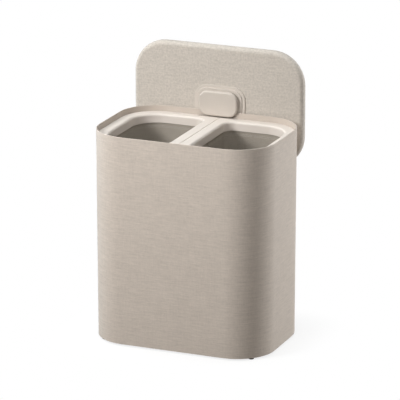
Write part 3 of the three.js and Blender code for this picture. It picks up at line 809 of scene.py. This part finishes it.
def stitch_tree():
    tree = bpy.data.node_groups.new("stitching", "GeometryNodeTree")
    for socket in ("Sewing lines", "Stitches"):
        way = "INPUT" if socket == "Sewing lines" else "OUTPUT"
        tree.interface.new_socket(socket, in_out=way, socket_type="NodeSocketGeometry")
    for socket, value in STITCH.items():
        made = tree.interface.new_socket(socket, in_out="INPUT", socket_type="NodeSocketFloat")
        made.default_value = value
    tree.interface.new_socket("Thread", in_out="INPUT", socket_type="NodeSocketMaterial")
    nodes = Nodes(tree)
    given = {name: nodes.node("NodeGroupInput", output=name)
             for name in ("Sewing lines", *STITCH, "Thread")}
    curves = nodes.node("GeometryNodeMeshToCurve", {}, {"Mesh": given["Sewing lines"]})
    steps = {"Curve": curves, "Length": given["Step"]}
    stepped = nodes.node("GeometryNodeResampleCurve", {"mode": "LENGTH"}, steps)
    tangent = nodes.node("GeometryNodeInputTangent")
    turn = nodes.node("FunctionNodeAlignRotationToVector", {"axis": "Z"}, {"Vector": tangent})
    bead = nodes.node("GeometryNodeMeshUVSphere", {}, STITCH_BEAD)
    size = {"X": given["Radius"], "Y": given["Radius"], "Z": given["Length"] * 0.5}
    shape = nodes.node("ShaderNodeCombineXYZ", {}, size)
    stitch = nodes.node("GeometryNodeTransform", {}, {"Geometry": bead, "Scale": shape})
    bounds = {2: STITCH_SMALLEST, 3: STITCH_LARGEST, 8: STITCH_SEED}
    uneven = nodes.node("FunctionNodeRandomValue", {"data_type": "FLOAT"}, bounds, 1)
    laid = nodes.node("GeometryNodeInstanceOnPoints", {},
                      {"Points": stepped, "Instance": stitch, "Rotation": turn, "Scale": uneven})
    real = nodes.node("GeometryNodeRealizeInstances", {}, {0: laid})
    round_shaded = nodes.node("GeometryNodeSetShadeSmooth", {}, {0: real})
    dressed = nodes.node("GeometryNodeSetMaterial", {}, {0: round_shaded, "Material": given["Thread"]})
    out = tree.nodes.new("NodeGroupOutput")
    nodes.feed(out.inputs["Stitches"], dressed)
    return tree


def stitched(name, body, slot, lines, tree):
    """Sews along lines of points and keeps the stitches as one plain mesh"""
    points, edges = [], []
    for line in lines:
        start = len(points)
        points += [tuple(point) for point in line]
        edges += [(start + i, start + i + 1) for i in range(len(line) - 1)]
    drawn = bpy.data.meshes.new(f"{name}_lines")
    drawn.from_pydata(points, edges, [])
    sewing = new_object(f"{name}_lines", drawn)
    modifier = sewing.modifiers.new("stitching", "NODES")
    modifier.node_group = tree
    names = {item.name: item.identifier for item in tree.interface.items_tree if item.in_out == "INPUT"}
    for socket, value in {**STITCH, "Thread": THREAD_FINISH}.items():
        modifier[names[socket]] = value
    depsgraph = bpy.context.evaluated_depsgraph_get()
    mesh = bpy.data.meshes.new_from_object(sewing.evaluated_get(depsgraph), depsgraph=depsgraph)
    bpy.data.objects.remove(sewing)
    settled(new_object(name, mesh), body, slot, THREAD_FINISH)


def wall_line(wall, depth, by):
    """The line round a bag at a depth below its hem, on the outside or, with a negative by, inside"""
    level = depth / (wall[0, 0, 2] - wall[-1, 0, 2]) * (len(wall) - 1)
    upper = int(level)
    share = level - upper
    line = wall[upper] * (1 - share) + wall[upper + 1] * share
    normals = outward(wall)[upper]
    placed = line + normals * by
    return np.concatenate([placed, placed[:1]])


def strap_seam(name, place):
    """A box with a cross in it on the top of each leg"""
    lines = []
    stations = strap_route(name, place)
    reach = STRAP_WIDTH / 2 - SEWN_MARGIN
    for _, centre, _, outwards in (stations[0], stations[-1]):
        x, z = centre[0], centre[2]
        y = centre[1] + outwards[1] * STRAP_THICKNESS / 2
        top, foot = z - SEWN_MARGIN, z - SEWN_MARGIN - SEWN_LENGTH
        box = [(x - reach, top), (x + reach, top), (x + reach, foot), (x - reach, foot), (x - reach, top)]
        for run in (box, [box[0], box[2]], [box[1], box[3]]):
            lines += [[(p[0], y, p[1]), (q[0], y, q[1])] for p, q in zip(run, run[1:])]
    return lines


def sewn_seams(name, wall, tree):
    """Both rows of stitches round the hem, seen from outside and from inside, and those of the straps"""
    lines = [wall_line(wall, depth, by) for depth in HEM_DEPTHS for by in (CLOTH / 2, -CLOTH / 2)]
    stitched(f"{name}_bag_stitches", f"{name}_bin", "bag_fabric", lines, tree)
    straps = strap_seam(name, "front") + strap_seam(name, "rear")
    stitched(f"{name}_strap_stitches", f"{name}_bin", "webbing", straps, tree)


# The binding's section is an oval, in metres from its middle
BINDING_DEPTH = 0.0011
BINDING_HEIGHT = 0.0016
BINDING_STEPS = 8
BINDING_STEP_WIDTH = 0.001


def lengths_round(ring):
    """The length along a closed ring at each of its points, and at last back at the first"""
    run = np.linalg.norm(np.roll(ring, -1, axis=0) - ring, axis=1)
    return np.concatenate([[0], np.cumsum(run)])


def foot_binding(name):
    """A bound seam round the bag's foot, where its wall is sewn to its floor"""
    *_, bottom, _ = bag_edges(name)
    centre = bag_ring(name, -CLOTH / 2 - BAG_TAPER, bottom + BAG_FILLET)
    normals = outward(np.array([centre]))[0]
    ovals = []
    for angle in np.linspace(0, 2 * math.pi, BINDING_STEPS, endpoint=False):
        out, up = BINDING_DEPTH * math.cos(angle), BINDING_HEIGHT * math.sin(angle)
        ovals.append(centre + out * normals + np.array([0, 0, up]))
    rows = np.array(ovals).transpose(1, 0, 2)
    levels, count = rows.shape[:2]
    around = lengths_round(centre)
    faces, places = [], []
    for j in range(levels):
        for i in range(count):
            k, m = (i + 1) % count, (j + 1) % levels
            faces.append((j * count + i, m * count + i, m * count + k, j * count + k))
            here, after = i * BINDING_STEP_WIDTH, (i + 1) * BINDING_STEP_WIDTH
            places += [(around[j], here), (around[j + 1], here), (around[j + 1], after), (around[j], after)]
    mesh = mesh_of(f"{name}_foot_binding", rows.reshape(-1, 3), faces)
    with_uv(mesh, places)
    outward_faces(mesh)
    mesh.shade_smooth()
    settled(new_object(f"{name}_foot_binding", mesh), f"{name}_bin", "webbing", FINISHES["webbing"])


# Felt pad of the odour filter: nearly flat, fuller in the middle, with a round edge and a fibrous face
PAD_RINGS = 22
PAD_RADIUS = 0.006
PAD_CORNER_STEPS = 6
PAD_SIDE_STEPS = 20
PAD_RIM_POWER = 0.25
PAD_EDGE_ROUNDING = 12
PAD_FLAT_SHARE = 0.88
FIBRE_SCALE = 900
FIBRE_HEIGHT = 0.00012


def felt_pad():
    """The pad as rings from its front pole over the edge to its rear pole"""
    low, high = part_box("filter_pad")
    middle_y, half = (low.y + high.y) / 2, (high.y - low.y) / 2
    edges = (low.x, high.x, low.z, high.z)
    rim = outline(edges, [PAD_RADIUS] * 4, 0, PAD_CORNER_STEPS, PAD_SIDE_STEPS, PAD_SIDE_STEPS)
    centre = np.array([(low.x + high.x) / 2, (low.z + high.z) / 2])
    rows = []
    for turn in np.linspace(0, math.pi, PAD_RINGS)[1:-1]:
        share = math.sin(turn) ** PAD_RIM_POWER
        fuller = PAD_FLAT_SHARE + (1 - PAD_FLAT_SHARE) * (1 - share * share)
        crown = (1 - share ** PAD_EDGE_ROUNDING) ** 0.5 * fuller
        flat = centre + (rim - centre) * share
        y = middle_y - math.copysign(half * crown, math.cos(turn))
        rows.append(np.column_stack([flat[:, 0], np.full(len(flat), y), flat[:, 1]]))
    rows = np.array(rows)
    levels, count = rows.shape[:2]
    poles = [(centre[0], middle_y - half, centre[1]), (centre[0], middle_y + half, centre[1])]
    points = np.concatenate([rows.reshape(-1, 3), poles])
    front, back = levels * count, levels * count + 1
    last = (levels - 1) * count
    caps = [(front, (i + 1) % count, i) for i in range(count)]
    caps += [(back, last + i, last + (i + 1) % count) for i in range(count)]
    mesh = mesh_of("filter_felt", points, grid_faces(levels, count) + caps)
    for vertex in mesh.vertices:
        fibre = noise.noise(Vector(vertex.co) * FIBRE_SCALE) * FIBRE_HEIGHT
        vertex.co += vertex.normal * (fibre - FIBRE_HEIGHT)
    outward_faces(mesh)
    mesh.shade_smooth()
    piece = new_object("filter_felt", mesh)
    settled(piece, "lid", "carbon_felt", FINISHES["carbon_felt"], "filter_pad")


place_camera()
place_lights()
place_floor()

DRESSED = {"left_bag", "right_bag", "filter_pad",
           "left_strap_front", "left_strap_rear", "right_strap_front", "right_strap_rear"}
for node in frame["nodes"]:
    if node not in DRESSED:
        smoothed(node)

stitching = stitch_tree()
for name, wall in cloth_walls().items():
    bag_piece(name, wall)
    foot_binding(name)
    strap_piece(name, "front")
    strap_piece(name, "rear")
    sewn_seams(name, wall, stitching)
felt_pad()

bpy.context.scene.view_settings.view_transform = "Standard"
